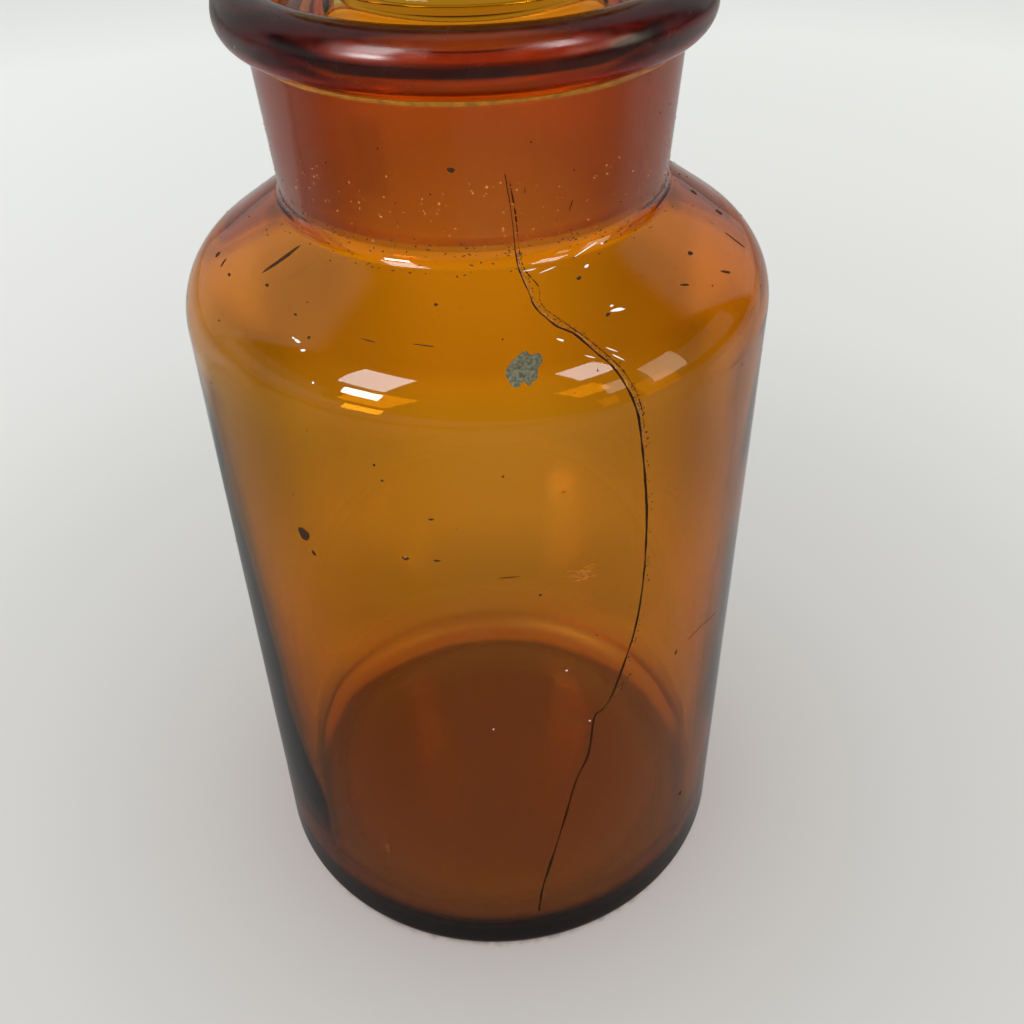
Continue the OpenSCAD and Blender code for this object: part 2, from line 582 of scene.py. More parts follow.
def root_shade(z, away):
    """Painted shade: a dark spot on either side of the neck's root."""
    return ROOT_DARK * hump(122.2, 123.0, 124.4, 125.0, z) * hump(66, 71, 78, 83, away)


def flank_shade(z, fold):
    """Painted shade: a soft dark stretch down either side of the body, at the front and at the back."""
    return FLANK_DARK * hump(28, 42, 58, 67, fold) * hump(72, 98, 115.2, 117.4, z)


def pane_shade(z, azimuth):
    """A painted reflection of a dark upright thing: a patch on the neck, left of the middle."""
    return PANE_DARK * fall(4.0, 5.2, abs(azimuth - PANE_AZIMUTH)) * fall(4.2, 4.9, abs(z - PANE_Z))


def heel_shade(r, z, away):
    """Painted shade over the front of the heel, where its thick glass looks dark."""
    return fall(8.8, 11.0, z) * smooth(36.5, 38, r) * fall(90, 110, away)


def outer_shade(r, z, azimuth):
    """The darkest of the painted shades on the outside. Fold is the angle to the nearer of front and back.
    """
    away = abs(azimuth)
    fold = min(away, 180 - away)
    return max(
        lip_shade(z, fold), root_shade(z, away), flank_shade(z, fold),
        pane_shade(z, azimuth), heel_shade(r, z, away)
    )


def bottle_shade(ring, r, z, azimuth):
    """The painted shade at a point of the bottle, inside or outside."""
    return inner_shade(r, z, azimuth) if ring > INSIDE else outer_shade(r, z, azimuth)


def stopper_ground(ring, r, z, azimuth):
    """The plug's ground face, coarser at the front."""
    return in_joint(r, z, JOINT_BOTTOM_Z + GROUND_MARGIN) * (1 - 0.7 * backward(azimuth))


def stopper_shade(ring, r, z, azimuth):
    """The amber of the plug's ground face."""
    return in_joint(r, z, JOINT_BOTTOM_Z - GROUND_MARGIN)


bottle_glass = glass("amber_glass", DENSITY, GLASS_IOR, SHADE)
stopper_glass = glass("stopper_glass", DENSITY * PLUG_SHARE, PLUG_IOR, PLUG_SHADE)
bottle = revolve("bottle_glass", OUTLINE, bottle_glass, shape=blown)
stopper = revolve("stopper_glass", stopper_outline(), stopper_glass)
paint(bottle, "ground", bottle_ground)
paint(bottle, "shade", bottle_shade)
paint(stopper, "ground", stopper_ground)
paint(stopper, "shade", stopper_shade)
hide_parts("bottle")
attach(bottle, "bottle")
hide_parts("stopper")
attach(stopper, "stopper")

# ---------------------------------------------------------------- crack, residue, marks and painted glints outside
# The outside from the heel to the lip, as height and radius, and the step that its slope is taken over
OUTER = [(z, r) for r, z in OUTLINE[:INSIDE] if r > NECK_R - 0.5 and z <= LIP_BOTTOM_Z]
SLOPE_STEP = 0.3
# How deep a mark's underside lies in the glass, and how far a ribbon's ridge stands out of it
SUNK = 0.05
RIDGE = 0.03


def slope_at(z):
    """How the outside's radius grows with height."""
    return (between(OUTER, z + SLOPE_STEP) - between(OUTER, z - SLOPE_STEP)) / (2 * SLOPE_STEP)


def on_glass(azimuth, z, lift=0.0):
    """A point in metres, lift millimetres out from the outside, at an azimuth and a height."""
    a = math.radians(azimuth)
    out = Vector((math.sin(a), -math.cos(a), -slope_at(z))).normalized()
    r = between(OUTER, z)
    return (Vector((r * math.sin(a), -r * math.cos(a), z)) + out * lift) * MM


def bend(a, b, c, d, t):
    """A Catmull-Rom curve from b to c, with a before them and d after."""
    square = (2 * a - 5 * b + 4 * c - d) * t * t
    return 0.5 * (2 * b + (c - a) * t + square + (3 * b - a - 3 * c + d) * t ** 3)


def flowing(points, steps):
    """A smooth curve through the points."""
    out = []
    ends = [points[0]] + points + [points[-1]]
    for four in zip(ends, ends[1:], ends[2:], ends[3:]):
        for k in range(steps):
            out.append(tuple(bend(*values, k / steps) for values in zip(*four)))
    return out + [points[-1]]


def finished(name, verts, faces, material):
    """A piece of marks, which ride on the bottle."""
    piece = mesh_piece(name, verts, faces, material)
    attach(piece, "bottle")


def ribbon(path, width_at, lift, verts, faces):
    """A thin closed strip along points of azimuth and height, with a ridge along its middle."""
    first = len(verts)
    spots = [on_glass(a, z, lift) for a, z in path]
    for i, ((a, z), spot) in enumerate(zip(path, spots)):
        ahead = spots[min(i + 1, len(spots) - 1)] - spots[max(i - 1, 0)]
        out = (on_glass(a, z, 1) - on_glass(a, z, 0)).normalized()
        side = ahead.cross(out).normalized() * width_at(i / (len(path) - 1)) * MM / 2
        verts += [spot - side, spot + out * RIDGE * MM, spot + side, spot - out * SUNK * MM]
    for i in range(len(path) - 1):
        k = first + 4 * i
        faces += [(k + j, k + (j + 1) % 4, k + 4 + (j + 1) % 4, k + 4 + j) for j in range(4)]
    last = first + 4 * (len(path) - 1)
    faces += [(first + 3, first + 2, first + 1, first), (last, last + 1, last + 2, last + 3)]


def flake(rim, height, verts, faces, rough=0.0):
    """A thin closed crust inside a rim of azimuth and height points."""
    n = len(rim)
    middle_a, middle_z = sum(a for a, _ in rim) / n, sum(z for _, z in rim) / n
    first = len(verts)
    under = -0.04
    rings = [(1.0, under), (1.0, 0.25 * height), (0.9, height), (0.6, height), (0.3, height)]
    for share, lift in rings:
        for a, z in rim:
            a, z = middle_a + (a - middle_a) * share, middle_z + (z - middle_z) * share
            bump = rough * wander(a * 0.7, z, share, 0.5, 17) if share < 1 else 0
            verts.append(on_glass(a, z, lift + bump))
    verts += [on_glass(middle_a, middle_z, height), on_glass(middle_a, middle_z, under)]
    for ring in range(len(rings) - 1):
        a, b = first + ring * n, first + (ring + 1) * n
        faces += [(a + k, a + (k + 1) % n, b + (k + 1) % n, b + k) for k in range(n)]
    top = first + (len(rings) - 1) * n
    faces += [(top + k, top + (k + 1) % n, first + len(rings) * n) for k in range(n)]
    faces += [(first + (k + 1) % n, first + k, first + len(rings) * n + 1) for k in range(n)]


def streak(azimuth, z, length, width, tilt, verts, faces, corners=10, height=0.05):
    """A tapered fleck in millimetres, whose long way leans right of upright by tilt degrees."""
    t = math.radians(tilt)
    degrees_a_mm = math.degrees(1 / between(OUTER, z))
    upright = 1 / math.hypot(1, slope_at(z))
    rim = []
    for k in range(corners):
        a = 2 * math.pi * k / corners
        u, v = length / 2 * math.cos(a), width / 2 * math.sin(a) * (1 + 0.25 * math.cos(3 * a + z))
        right, up = u * math.sin(t) + v * math.cos(t), u * math.cos(t) - v * math.sin(t)
        rim.append((azimuth + right * degrees_a_mm, z + up * upright))
    flake(rim, height, verts, faces)


def matt(name, colour, rough, spread, scale, shine=0.5):
    """A dull mineral or soot, or a painted highlight, mottled by spread around its colour, with a fine
    grain.
    """
    m = bpy.data.materials.new(name)
    m.use_nodes = True
    t = m.node_tree
    p = t.nodes["Principled BSDF"]
    p.inputs["Roughness"].default_value = rough
    p.inputs["Specular IOR Level"].default_value = shine
    place = t.nodes.new("ShaderNodeTexCoord")
    grain = t.nodes.new("ShaderNodeTexNoise")
    grain.inputs["Scale"].default_value = scale
    grain.inputs["Detail"].default_value = 5
    t.links.new(place.outputs["Object"], grain.inputs["Vector"])
    ramp = t.nodes.new("ShaderNodeValToRGB")
    darkest, lightest = ramp.color_ramp.elements
    darkest.position = 0.35
    lightest.position = 0.65
    darkest.color = (*[c * (1 - spread) for c in colour], 1)
    lightest.color = (*[c * (1 + spread) for c in colour], 1)
    t.links.new(grain.outputs["Fac"], ramp.inputs[0])
    t.links.new(ramp.outputs[0], p.inputs["Base Color"])
    bump = t.nodes.new("ShaderNodeBump")
    bump.inputs["Strength"].default_value = 0.4
    bump.inputs["Distance"].default_value = 0.05 * MM
    t.links.new(grain.outputs["Fac"], bump.inputs["Height"])
    t.links.new(bump.outputs[0], p.inputs["Normal"])
    return m


# The crack from the neck to the heel, as azimuth and height
CRACK = [
    (7.5, 135), (9, 130), (10, 125), (10.5, 123), (11.5, 121.5), (12, 120.5), (15, 119), (18.5, 118),
    (21, 116.5), (23.3, 115), (24.7, 113), (25.5, 111.4), (26.5, 108.8), (27.6, 104.4), (28.7, 99),
    (29.6, 93.5), (30, 86.5), (29.8, 79.5), (28.7, 72.5), (26.5, 66.3), (24, 60.7), (22, 58.5),
    (20.2, 57.3), (19.2, 49.7), (16.4, 43.7), (14, 35), (11, 24.7), (9, 17.7), (8, 10.8),
]
# Its edge on the inside, which shows as a second, broken line
CRACK_BACK = [
    (8.6, 134), (10, 130), (11, 125.2), (11.8, 123.3), (14, 121.9), (13.6, 120.6), (17.4, 118.9),
    (20.6, 117.5), (23.2, 115.9), (25.1, 114.2), (26.4, 112), (27.2, 109.6), (27.8, 107),
]
# The pale wedge that leaves the crack near the base, and a scratch at its right
SPUR = [(22.6, 59.3), (25.5, 61.5), (28.5, 63.8)]
SCRATCH = [(45.1, 62.8), (50, 62.9), (57.8, 61.4)]
RESIDUE = [
    (4, 116), (4.8, 116.5), (5.6, 116.8), (8.1, 117.4), (9, 117.1), (10.8, 117.1), (10.9, 116.5),
    (9.9, 116), (9.4, 115.2), (8.6, 115.1), (7.9, 114.7), (7, 115.2), (6, 114.7), (4.8, 115),
]
# Dark flecks: azimuth, height, length, width and tilt
FLECKS = [
    (-36.2, 90.0, 2.1, 1.9, -12), (-34.4, 87.3, 0.9, 0.5, -25),
    (-54.6, 121.3, 6.2, 0.55, 24), (-52.7, 119.2, 0.4, 0.6, 0), (-78, 117.5, 0.9, 0.7, -30),
    (-72.5, 117.8, 1.4, 0.3, -35), (-66.4, 117.8, 0.4, 0.8, 0), (-40.4, 118.3, 0.3, 0.5, 0),
    (-34.6, 117.1, 0.4, 0.4, 0), (-5.3, 135.7, 0.6, 0.9, 10), (57.6, 119.9, 0.6, 0.9, 20),
    (48.5, 118.4, 0.3, 1.5, 25), (62, 117, 0.4, 1.8, 40), (85, 118.8, 1.2, 0.7, 0),
    (86.7, 121.3, 1.0, 0.6, 0), (24.3, 121.9, 0.4, 0.7, -20), (26.9, 118.8, 0.4, 0.7, -20),
    (41.1, 62.3, 0.9, 0.3, 20), (-22, 117.9, 0.12, 2.0, 5), (-10.8, 118, 0.12, 2.6, 4),
    (-9.6, 121, 0.35, 0.5, 0), (-18.9, 104.9, 0.35, 0.3, 0), (-17.8, 102.7, 0.3, 0.35, 0),
    (49.4, 22.7, 0.9, 0.8, 0), (25, 129.9, 1.6, 0.12, 20), (12.4, 132.8, 0.9, 0.1, 5),
    (76.2, 117.3, 3.4, 0.2, 0), (-15.1, 90.7, 0.6, 0.9, 5), (-9.4, 90.8, 0.25, 0.9, 0),
    (-9.8, 97.5, 0.25, 0.7, 0), (2.7, 104, 0.3, 0.25, 0), (8.8, 84.2, 0.35, 0.4, 0),
    (3.2, 87.9, 0.12, 2.4, 0),
]
# Seeds in the glass that catch the light
SEEDS = [(-15.1, 90.95, 0.5, 0.5, 5), (13, 100.5, 0.3, 0.6, 0)]
# Chips painted white as the glints they catch: azimuth, height, length, width and tilt
CHIPS = [
    (-36.6, 116.6, 0.35, 1.1, 10), (-34.4, 116.1, 0.3, 0.7, -15), (-37.8, 116.7, 0.25, 0.3, 0),
    (-30.2, 113.7, 0.3, 0.3, 0), (29.5, 118.9, 0.45, 1.9, 8), (28.6, 119.3, 0.25, 0.5, 0),
    (15.4, 117.8, 0.25, 0.9, 30), (19.8, 116.2, 0.12, 1.2, 28), (27.6, 122.6, 0.35, 0.7, -15),
    (24.3, 116.3, 0.14, 1.4, 38), (24.9, 115.6, 0.14, 1.6, 42), (13.1, 123.2, 0.12, 1.6, -4),
    (19.2, 57.0, 0.25, 0.25, 0), (14.0, 69.0, 0.2, 0.3, 0), (-0.8, 58.8, 0.2, 0.2, 0),
    (17.6, 123.0, 0.12, 2.2, -12), (30.0, 123.9, 0.14, 4.2, -14), (34.9, 123.9, 0.3, 0.3, 0),
]
# Steps from one of the crack's points to the next, and the stretch that has a painted highlight beside it
CRACK_STEPS = 14
HIGHLIGHT_FROM, HIGHLIGHT_TO = 2, 13
# The middle of the smear on the front, as azimuth and height
SMEAR_AT = (16.7, 86.6)
# The groove under the lip, where a golden line of light is painted
GLINT_Z = 143.1
# How many small marks are spread by chance
SMEAR_STROKES = 44
NECK_SPECKS = 150
BODY_SPECKS = 60
CRACK_SPECKS = 150
STAINS = 420
PITS = 300


def ragged_width(widest, seed, gaps=0.0):
    """A ribbon's width along its length, ragged and with more gaps the nearer gaps is to 1."""
    def width(t):
        v = 0.75 + 0.5 * wander(t * 160, seed, 0, 2.5, seed)
        ink = 0.5 + wander(t * 300, seed, 3, 2.5, seed)
        cut = 1 if gaps == 0 else smooth(gaps - 0.12, gaps + 0.12, ink)
        return max(0.02, widest * v * cut)
    return width


def crack_width(t):
    """Fine on the neck and widest from the shoulder down."""
    return 0.15 + 0.19 * smooth(0.02, 0.30, t) + 0.10 * smooth(0.42, 0.55, t)


def crack():
    """The crack with its broken second line, a scratch, and a painted highlight beside the crack."""
    soot = matt("crack_soot", (0.018, 0.007, 0.003), 0.7, 0.5, 4000, shine=0.1)
    verts, faces = [], []
    path = flowing(CRACK, CRACK_STEPS)
    jitter = [(a + 0.06 * wander(z, a, 0, 0.9, 2), z + 0.05 * wander(z, a, 5, 0.9, 4)) for a, z in path]
    rough = ragged_width(1.0, 6)
    ribbon(jitter, lambda t: crack_width(t) * rough(t), 0.0, verts, faces)
    ribbon(flowing(CRACK_BACK, 40), ragged_width(0.20, 9, gaps=0.45), 0.0, verts, faces)
    ribbon(flowing(SCRATCH, 8), ragged_width(0.14, 5, gaps=0.40), 0.0, verts, faces)
    finished("crack", verts, faces, soot)
    # A painted highlight beside the crack, where its face catches the light
    verts, faces = [], []
    stretch = path[CRACK_STEPS * HIGHLIGHT_FROM:CRACK_STEPS * HIGHLIGHT_TO]
    beside = [(a + 0.42, z + 0.12) for a, z in stretch]
    ribbon(beside, ragged_width(0.22, 12, gaps=0.40), 0.0, verts, faces)
    finished("crack_highlight", verts, faces, matt("painted_crack_highlight", (0.30, 0.12, 0.03), 0.4, 0.4, 3000))


def wedge_and_glint():
    """A wedge off the crack near the base, and a painted reflection, a glint low on the left."""
    verts, faces = [], []
    ribbon(flowing(SPUR, 8), lambda t: 0.12 + 0.40 * t, 0.0, verts, faces)
    # A painted reflection: the glint low on the left
    streak(-27.4, 24.9, 2.9, 1.1, 3, verts, faces)
    dull = matt("dull_amber", (0.13, 0.042, 0.010), 0.7, 0.5, 1500, shine=0.1)
    finished("wedge_and_glint", verts, faces, dull)


def smear():
    """A pale smear on the front, in short broken strokes, and the seeds in the glass."""
    verts, faces = [], []
    draw = random.Random(21)
    for _ in range(SMEAR_STROKES):
        a, z = SMEAR_AT[0] + draw.gauss(0, 1.1), SMEAR_AT[1] + draw.gauss(0, 0.6)
        length, width, tilt = draw.uniform(0.4, 1.3), draw.uniform(0.12, 0.34), draw.uniform(82, 98)
        streak(a, z, length, width, tilt, verts, faces)
    for place in SEEDS:
        streak(*place, verts, faces)
    orange = matt("orange_smear", (0.33, 0.112, 0.014), 0.8, 0.2, 2000, shine=0.05)
    finished("smear", verts, faces, orange)


def residue():
    """The grey crust on the shoulder."""
    verts, faces = [], []
    rim = flowing(RESIDUE + RESIDUE[:1], 4)[:-1]
    rim = [(a + 0.12 * wander(a, z, 0, 0.25, 3), z + 0.05 * wander(a, z, 4, 0.25, 8)) for a, z in rim]
    flake(rim, 0.10, verts, faces, rough=0.05)
    grey = matt("grey_residue", (0.100, 0.098, 0.062), 0.8, 0.45, 2600, shine=0.2)
    finished("residue", verts, faces, grey)


def neck_and_shoulder_specks(verts, faces, draw):
    """Specks all round the neck and the shoulder, a third of them at the root of the neck."""
    for _ in range(NECK_SPECKS):
        z = draw.choice([draw.gauss(125, 1.6), draw.uniform(112, 124), draw.uniform(126, 140)])
        size = draw.uniform(0.10, 0.26)
        azimuth, width, tilt = draw.uniform(0, 360), size * draw.uniform(0.5, 1), draw.uniform(0, 90)
        streak(azimuth, min(z, 141), size, width, tilt, verts, faces)


def body_specks(verts, faces, draw):
    """Sparse round specks on the body."""
    for _ in range(BODY_SPECKS):
        size = draw.uniform(0.08, 0.18)
        azimuth, z = draw.uniform(0, 360), draw.uniform(14, 110)
        streak(azimuth, z, size, size, 0, verts, faces)


def crack_specks(verts, faces, draw):
    """Specks along the right of the crack."""
    along = flowing(CRACK[2:20], 10)
    for _ in range(CRACK_SPECKS):
        a, z = draw.choice(along)
        size = draw.uniform(0.08, 0.26)
        a, z = a + draw.uniform(0.2, 1.5), z + draw.uniform(-0.2, 0.4)
        streak(a, z, size, size * 0.6, draw.uniform(0, 90), verts, faces)


def flecks():
    """The flecks at their places, and finer specks spread by chance."""
    verts, faces = [], []
    for place in FLECKS:
        streak(*place, verts, faces)
    draw = random.Random(4)
    neck_and_shoulder_specks(verts, faces, draw)
    body_specks(verts, faces, draw)
    crack_specks(verts, faces, draw)
    brown = matt("brown_flecks", (0.040, 0.016, 0.006), 0.7, 0.3, 3000, shine=0.2)
    finished("flecks", verts, faces, brown)


def stains():
    """The brown grime at the root of the neck."""
    verts, faces = [], []
    draw = random.Random(11)
    for _ in range(STAINS):
        size = draw.uniform(0.06, 0.20)
        z = max(123.2, min(131, draw.gauss(125.2, 1.3)))
        azimuth, width, tilt = draw.uniform(0, 360), size * draw.uniform(1, 3), draw.uniform(-30, 30)
        streak(azimuth, z, size, width, tilt, verts, faces)
    brown = matt("brown_stain", (0.12, 0.05, 0.016), 0.7, 0.4, 3000, shine=0.2)
    finished("stains", verts, faces, brown)


def pits():
    """Small pale pits in the glass of the neck."""
    verts, faces = [], []
    draw = random.Random(9)
    for _ in range(PITS):
        azimuth, z = draw.uniform(0, 360), draw.gauss(130.5, 2.4)
        size = draw.uniform(0.10, 0.34)
        width, tilt = size * draw.uniform(0.3, 1), draw.uniform(0, 180)
        streak(azimuth, max(126, min(140, z)), size, width, tilt, verts, faces)
    pale = matt("pale_pits", (0.44, 0.17, 0.045), 0.5, 0.4, 3000, shine=0.2)
    finished("pits", verts, faces, pale)


def glint():
    """A painted golden line of light in the groove under the lip."""
    verts, faces = [], []
    path = [(-180 + 2 * k, GLINT_Z + 0.05 * wander(k, 0, 0, 5, 2)) for k in range(181)]
    ribbon(path, lambda t: 0.70 * (0.8 + 0.5 * wander(t * 160, 0, 0, 9, 6)), -0.02, verts, faces)
    golden = matt("painted_golden_glint", (0.34, 0.13, 0.006), 0.5, 0.25, 900, shine=0.2)
    finished("glint", verts, faces, golden)


def chips():
    """Chips on the shoulder and beside the crack, painted white as the glints that they catch."""
    verts, faces = [], []
    for place in CHIPS:
        streak(*place, verts, faces)
    finished("chips", verts, faces, matt("chips_painted_glint", (0.85, 0.84, 0.82), 0.3, 0.05, 3000))


crack()
wedge_and_glint()
smear()
residue()
flecks()
stains()
pits()
glint()
chips()

# ---------------------------------------------------------------- floor
# Brightness of the table by distance from the axis in millimetres, with painted shade that darkens it
# towards the bottle
TABLE = [
    (0, 0.46), (45, 0.47), (60, 0.51), (90, 0.56), (130, 0.60), (160, 0.65), (200, 0.71),
    (300, 0.79), (500, 0.92), (750, 0.84), (1200, 0.90), (2200, 1.0)
]
# Its blue, as a share of its red and green
TABLE_BLUE = 0.985
# A hair's gap, so that the foot reflects as glass does on a table
FLOOR_Z = -0.12 * MM
FLOOR_HALF = 3.0
# The painted shadow under the base: its level, its edge, its raggedness, its shift and its narrowing
UNDER_LEVEL = 0.34
UNDER_R = (36.4 * MM, 38.0 * MM)
UNDER_RAGGED = 1.6 * MM
UNDER_SHIFT = (0, 2.5 * MM, 0)
UNDER_SCALE = (0.96, 1, 1)
# Two painted shadows behind the bottle, which only the glass shows. Each has a reach along Y, over which it
# comes and goes, a reach to either side, over which it goes, and how much darker it is.
FAR_REACH = (45, 115, 225, 330)
FAR_ASIDE = (70, 110)
FAR_DARK_MIDDLE = 0.09
FAR_DARK_SIDE = 0.30
CLOSE_REACH = (34, 46, 58, 84)
CLOSE_ASIDE = (28, 58)
CLOSE_DARK = 0.22
# The table's level in the glass's reflections, in front of the bottle, and how much darker it is at its left
MIRROR_FRONT = 0.40
MIRROR_LEFT_DARK = 0.40


def distance(t, place):
    """The length of a vector."""
    n = t.nodes.new("ShaderNodeVectorMath")
    n.operation = "LENGTH"
    t.links.new(place, n.inputs[0])
    return n.outputs["Value"]


def step(t, value, start, end, low, high):
    """A smooth step from low to high, its start and end in millimetres."""
    return rise(t, value, start * MM, end * MM, low, high)


def zone(t, value, start, full, end, gone):
    """1 from full to end, and 0 before start and after gone, all in millimetres."""
    return chain(t, "MULTIPLY", step(t, value, start, full, 0, 1), step(t, value, end, gone, 1, 0))


def table_colour(t, place):
    """The pale table, with painted shade that darkens it towards the bottle."""
    reach = chain(t, "DIVIDE", distance(t, place), TABLE[-1][0] * MM)
    ramp = t.nodes.new("ShaderNodeValToRGB")
    while len(ramp.color_ramp.elements) < len(TABLE):
        ramp.color_ramp.elements.new(0.5)
    for e, (r, level) in zip(ramp.color_ramp.elements, TABLE):
        e.position = r / TABLE[-1][0]
        e.color = (level, level, level * TABLE_BLUE, 1)
    t.links.new(reach, ramp.inputs[0])
    return ramp.outputs[0]


def under_base(t, place):
    """A painted shadow under the base, with a ragged edge."""
    grain = t.nodes.new("ShaderNodeTexNoise")
    grain.inputs["Scale"].default_value = 500
    grain.inputs["Detail"].default_value = 2
    t.links.new(place, grain.inputs["Vector"])
    ragged = chain(t, "MULTIPLY", chain(t, "SUBTRACT", grain.outputs["Fac"], 0.5), UNDER_RAGGED)
    shifted = t.nodes.new("ShaderNodeVectorMath")
    shifted.operation = "MULTIPLY_ADD"
    shifted.inputs[1].default_value = UNDER_SCALE
    shifted.inputs[2].default_value = UNDER_SHIFT
    t.links.new(place, shifted.inputs[0])
    edge = chain(t, "ADD", distance(t, shifted.outputs["Vector"]), ragged)
    return rise(t, edge, *UNDER_R, UNDER_LEVEL, 1.0)


def behind_bottle(t, x, y, through):
    """Two painted shadows behind the bottle, a far one and one by its foot, seen only through glass."""
    aside = chain(t, "ABSOLUTE", x)
    far = chain(t, "MULTIPLY", zone(t, y, *FAR_REACH), step(t, aside, *FAR_ASIDE, 1, 0))
    depth = step(t, aside, 10, 48, FAR_DARK_MIDDLE, FAR_DARK_SIDE)
    close = chain(t, "MULTIPLY", zone(t, y, *CLOSE_REACH), step(t, aside, *CLOSE_ASIDE, 1, 0))
    both = chain(t, "ADD", chain(t, "MULTIPLY", far, depth), chain(t, "MULTIPLY", close, CLOSE_DARK))
    return chain(t, "SUBTRACT", 1.0, chain(t, "MULTIPLY", both, through))


def in_mirror(t, x, y, mirrored):
    """The table is dimmer in the glass's reflections, in front of the bottle and at its left."""
    front = chain(t, "SUBTRACT", step(t, y, -80, 60, MIRROR_FRONT, 1.0), 1.0)
    front = chain(t, "ADD", chain(t, "MULTIPLY", mirrored, front), 1.0)
    left = chain(t, "MULTIPLY", step(t, x, -70, -10, MIRROR_LEFT_DARK, 0), step(t, y, 95, 130, 1, 0))
    left = chain(t, "SUBTRACT", 1.0, chain(t, "MULTIPLY", mirrored, left))
    return chain(t, "MULTIPLY", front, left)


def floor_material():
    """The pale table, with painted shadow under and behind the bottle, dimmer where the glass mirrors it."""
    m = bpy.data.materials.new("pale_floor")
    t, out = empty_tree(m, "ShaderNodeOutputMaterial")
    place = t.nodes.new("ShaderNodeTexCoord").outputs["Object"]
    split = t.nodes.new("ShaderNodeSeparateXYZ")
    t.links.new(place, split.inputs[0])
    x, y = split.outputs["X"], split.outputs["Y"]
    path = t.nodes.new("ShaderNodeLightPath")
    through = chain(t, "MINIMUM", path.outputs["Transmission Depth"], 1.0)
    mirrored = chain(t, "MINIMUM", path.outputs["Glossy Depth"], 1.0)
    dim = chain(t, "MULTIPLY", under_base(t, place), behind_bottle(t, x, y, through))
    dim = chain(t, "MULTIPLY", dim, in_mirror(t, x, y, mirrored))
    shade = t.nodes.new("ShaderNodeVectorMath")
    shade.operation = "SCALE"
    t.links.new(table_colour(t, place), shade.inputs[0])
    t.links.new(dim, shade.inputs["Scale"])
    pale = t.nodes.new("ShaderNodeBsdfDiffuse")
    t.links.new(shade.outputs[0], pale.inputs["Color"])
    t.links.new(pale.outputs[0], out.inputs["Surface"])
    return m


def floor():
    """The table that the bottle stands on."""
    s = FLOOR_HALF
    verts = [(-s, -s, FLOOR_Z), (s, -s, FLOOR_Z), (s, s, FLOOR_Z), (-s, s, FLOOR_Z)]
    mesh_piece("floor", verts, [(0, 1, 2, 3)], floor_material())


floor()

# ---------------------------------------------------------------- world
DAYLIGHT = (0.97, 1.0, 0.99)
DARK_ROOM = (0.8, 0.8, 0.8)
# Strength of the light on everything
LIGHT = 0.62
# Strengths of what the glass mirrors
ROOM_DARK = 0.015
ROOM_BACK = 0.5
ROOM_SKIRT = 0.3
# Strengths of the backdrop at the horizon and above it, and of the darkness that only the glass shows
BACKDROP_LOW = 0.61
BACKDROP_HIGH = 0.86
BACKDROP_DARK = 0.08


def background(t, colour, strength):
    """The world in one colour, at a strength that may vary."""
    n = t.nodes.new("ShaderNodeBackground")
    n.inputs["Color"].default_value = (*colour, 1)
    feed(t, strength, n.inputs["Strength"])
    return n.outputs[0]


def room(t, x, z, lean):
    """What the glass mirrors: a dark room, lit at the back and above, with a pale skirt round the table."""
    back = rise(t, lean, 0.44, 0.52, ROOM_DARK, ROOM_BACK)
    skirt_top = chain(t, "SUBTRACT", 0.08, chain(t, "MULTIPLY", x, 0.15))
    skirt = chain(t, "MULTIPLY", chain(t, "LESS_THAN", z, skirt_top), ROOM_SKIRT)
    return background(t, DARK_ROOM, chain(t, "MAXIMUM", back, skirt))


def seen_through(t, z, lean):
    """What shows through the glass: the pale backdrop at the back and low down, and dark elsewhere."""
    back = rise(t, lean, 0.30, 0.60, BACKDROP_DARK, BACKDROP_HIGH)
    low = chain(t, "MULTIPLY", chain(t, "LESS_THAN", z, 0.08), BACKDROP_HIGH)
    return background(t, DAYLIGHT, chain(t, "MAXIMUM", back, low))


def world():
    """Plain soft light, with its own look in reflections, through glass and straight behind the scene."""
    w = bpy.data.worlds.new("studio")
    bpy.context.scene.world = w
    t, out = empty_tree(w, "ShaderNodeOutputWorld")
    split = t.nodes.new("ShaderNodeSeparateXYZ")
    t.links.new(t.nodes.new("ShaderNodeTexCoord").outputs["Generated"], split.inputs[0])
    x, y, z = split.outputs
    lean = chain(t, "ADD", y, chain(t, "MULTIPLY", z, 0.43))
    lean = chain(t, "SUBTRACT", lean, chain(t, "MULTIPLY", x, 0.10))
    path = t.nodes.new("ShaderNodeLightPath")
    mirrored = chain(t, "MINIMUM", path.outputs["Glossy Depth"], 1.0)
    unmirrored = chain(t, "SUBTRACT", 1.0, mirrored)
    through = chain(t, "MULTIPLY", path.outputs["Is Transmission Ray"], unmirrored)
    backdrop = background(t, DAYLIGHT, rise(t, z, 0.0, 0.30, BACKDROP_LOW, BACKDROP_HIGH))
    shown = mixed(t, mirrored, background(t, DAYLIGHT, LIGHT), room(t, x, z, lean))
    shown = mixed(t, through, shown, seen_through(t, z, lean))
    shown = mixed(t, path.outputs["Is Camera Ray"], shown, backdrop)
    t.links.new(shown, out.inputs["Surface"])


world()

# ---------------------------------------------------------------- lamps
# The lamps look at this point, from this far off, in metres
AIM = Vector((0, -0.03, 0.115))
LAMP_DISTANCE = 1.2


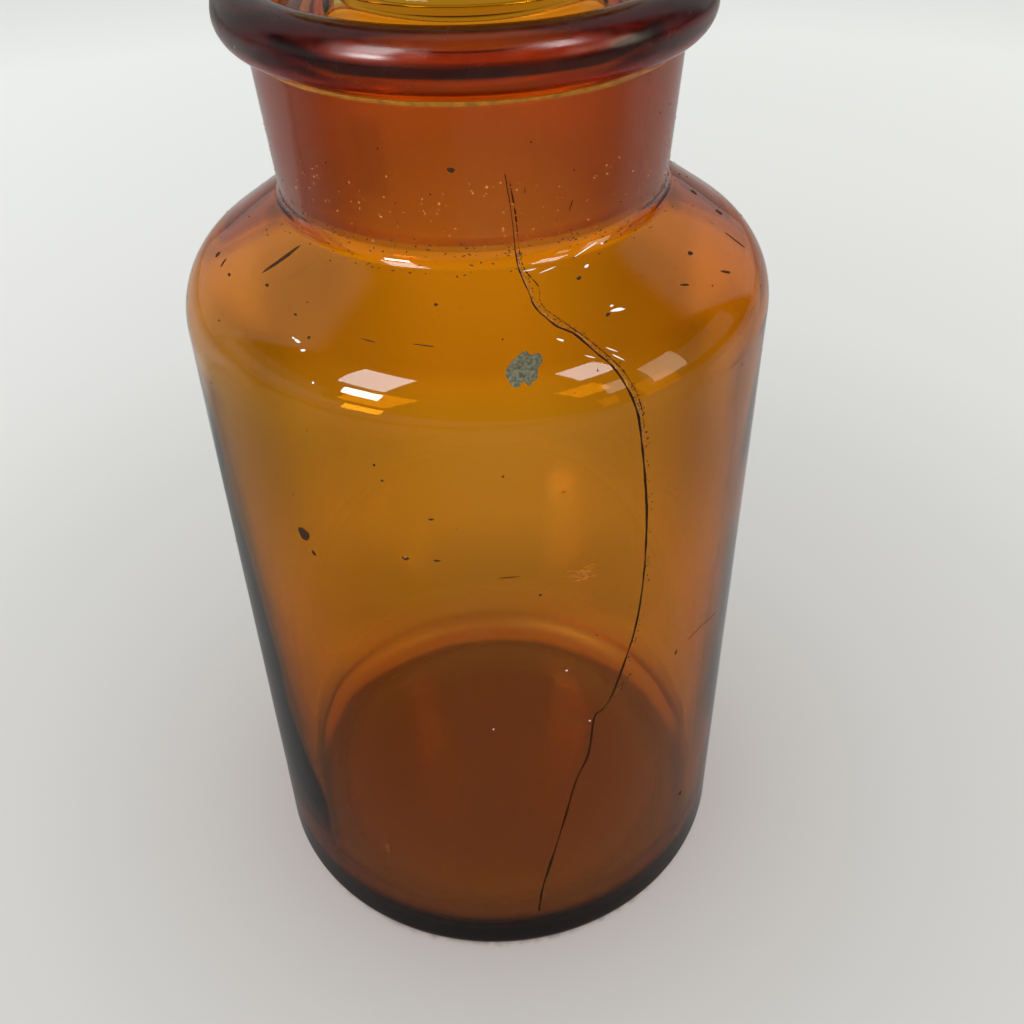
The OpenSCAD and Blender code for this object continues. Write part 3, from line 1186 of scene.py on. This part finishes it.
def lamp(name, azimuth, elevation, across, up, radiance, colour=(1, 1, 1)):
    """A softbox. Azimuth 0 is along +Y and 90 along +X, and the sizes are angles in degrees."""
    a, e = math.radians(azimuth), math.radians(elevation)
    way = Vector((math.sin(a) * math.cos(e), math.cos(a) * math.cos(e), math.sin(e)))
    data = bpy.data.lights.new(name, "AREA")
    data.shape = "RECTANGLE"
    data.size = LAMP_DISTANCE * math.radians(across)
    data.size_y = LAMP_DISTANCE * math.radians(up)
    data.energy = radiance * math.pi * data.size * data.size_y
    data.color = colour
    data.use_shadow = False
    o = bpy.data.objects.new(name, data)
    bpy.context.scene.collection.objects.link(o)
    o.location = AIM + way * LAMP_DISTANCE
    o.rotation_euler = way.to_track_quat("Z", "Y").to_euler()


lamp("window_left", -129, 46, 18, 22, 9)
lamp("strip_left", -132.5, 27, 14, 8, 30)
lamp("window_right", 129, 48, 14, 17, 8)
lamp("haze_left", -95, 14, 50, 20, 0.14)
lamp("haze_right", 95, 14, 50, 20, 0.20)
lamp("wall_right", 108, 18, 16, 24, 3, (1, 0.85, 0.62))
lamp("wall_right_2", 130, 20, 8, 13, 3, (1, 0.88, 0.70))

# ---------------------------------------------------------------- camera
# Where the camera stands, in millimetres, in front of the axis and above the table
CAMERA_DISTANCE = 147.645
CAMERA_HEIGHT = 185.063
# How it is turned, in radians: down, to the right and about its own line of sight
CAMERA_DOWN = 0.681
CAMERA_RIGHT = 0.027
CAMERA_ROLL = 0.026
# Its focal length in pixels of an image this wide, on a sensor this wide in millimetres
FOCAL_PX = 1135.0
IMAGE_PX = 1024
SENSOR = 36


def camera():
    """The camera, at the viewpoint that the values above give."""
    forward = Vector((
        math.sin(CAMERA_RIGHT) * math.cos(CAMERA_DOWN),
        math.cos(CAMERA_RIGHT) * math.cos(CAMERA_DOWN),
        -math.sin(CAMERA_DOWN)
    ))
    level = Vector((math.cos(CAMERA_RIGHT), -math.sin(CAMERA_RIGHT), 0))
    steep = forward.cross(level)
    right = level * math.cos(CAMERA_ROLL) + steep * math.sin(CAMERA_ROLL)
    down = steep * math.cos(CAMERA_ROLL) - level * math.sin(CAMERA_ROLL)
    data = bpy.data.cameras.new("camera")
    data.sensor_width = SENSOR
    data.lens = SENSOR * FOCAL_PX / IMAGE_PX
    data.clip_start = 0.01
    o = bpy.data.objects.new("camera", data)
    bpy.context.scene.collection.objects.link(o)
    stand = Matrix((right, -down, -forward)).transposed().to_4x4()
    stand.translation = Vector((0, -CAMERA_DISTANCE * MM, CAMERA_HEIGHT * MM))
    o.matrix_world = stand
    bpy.context.scene.camera = o


camera()
bpy.context.scene.view_settings.view_transform = "Standard"
